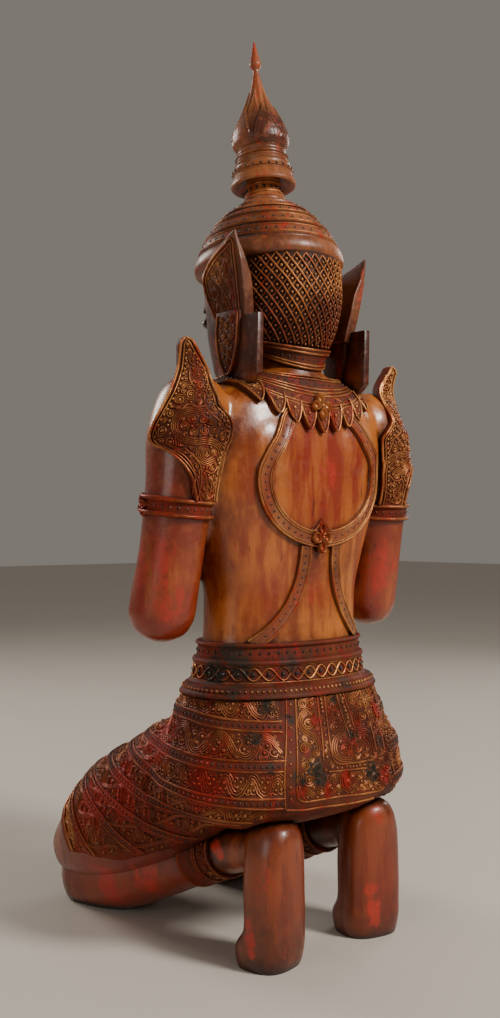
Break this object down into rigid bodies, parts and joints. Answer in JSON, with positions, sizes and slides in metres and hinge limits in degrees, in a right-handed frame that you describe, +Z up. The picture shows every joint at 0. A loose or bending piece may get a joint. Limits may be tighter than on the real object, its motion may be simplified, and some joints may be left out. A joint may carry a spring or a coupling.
{
  "type": "kneeling theppanom statue",
  "caption": "Lacquered wooden kneeling celestial figure, hands pressed together in prayer, with a tall tiered crown, flame wings on the shoulders and cloth cut in bands.",
  "frame": {"origin": "on the floor, under the middle of the figure's box", "axes": "+Z up, -Y the way the figure faces, +X towards its left hand"},
  "size_m": [0.4488, 0.4602, 1.1823],
  "materials": {
    "lacquered_wood": "worn amber and red lacquer over carved wood, with rubbed gilding on the ridges"
  },
  "bodies": {
    "root": {"statue": "lacquered_wood"}
  },
  "joints": []
}
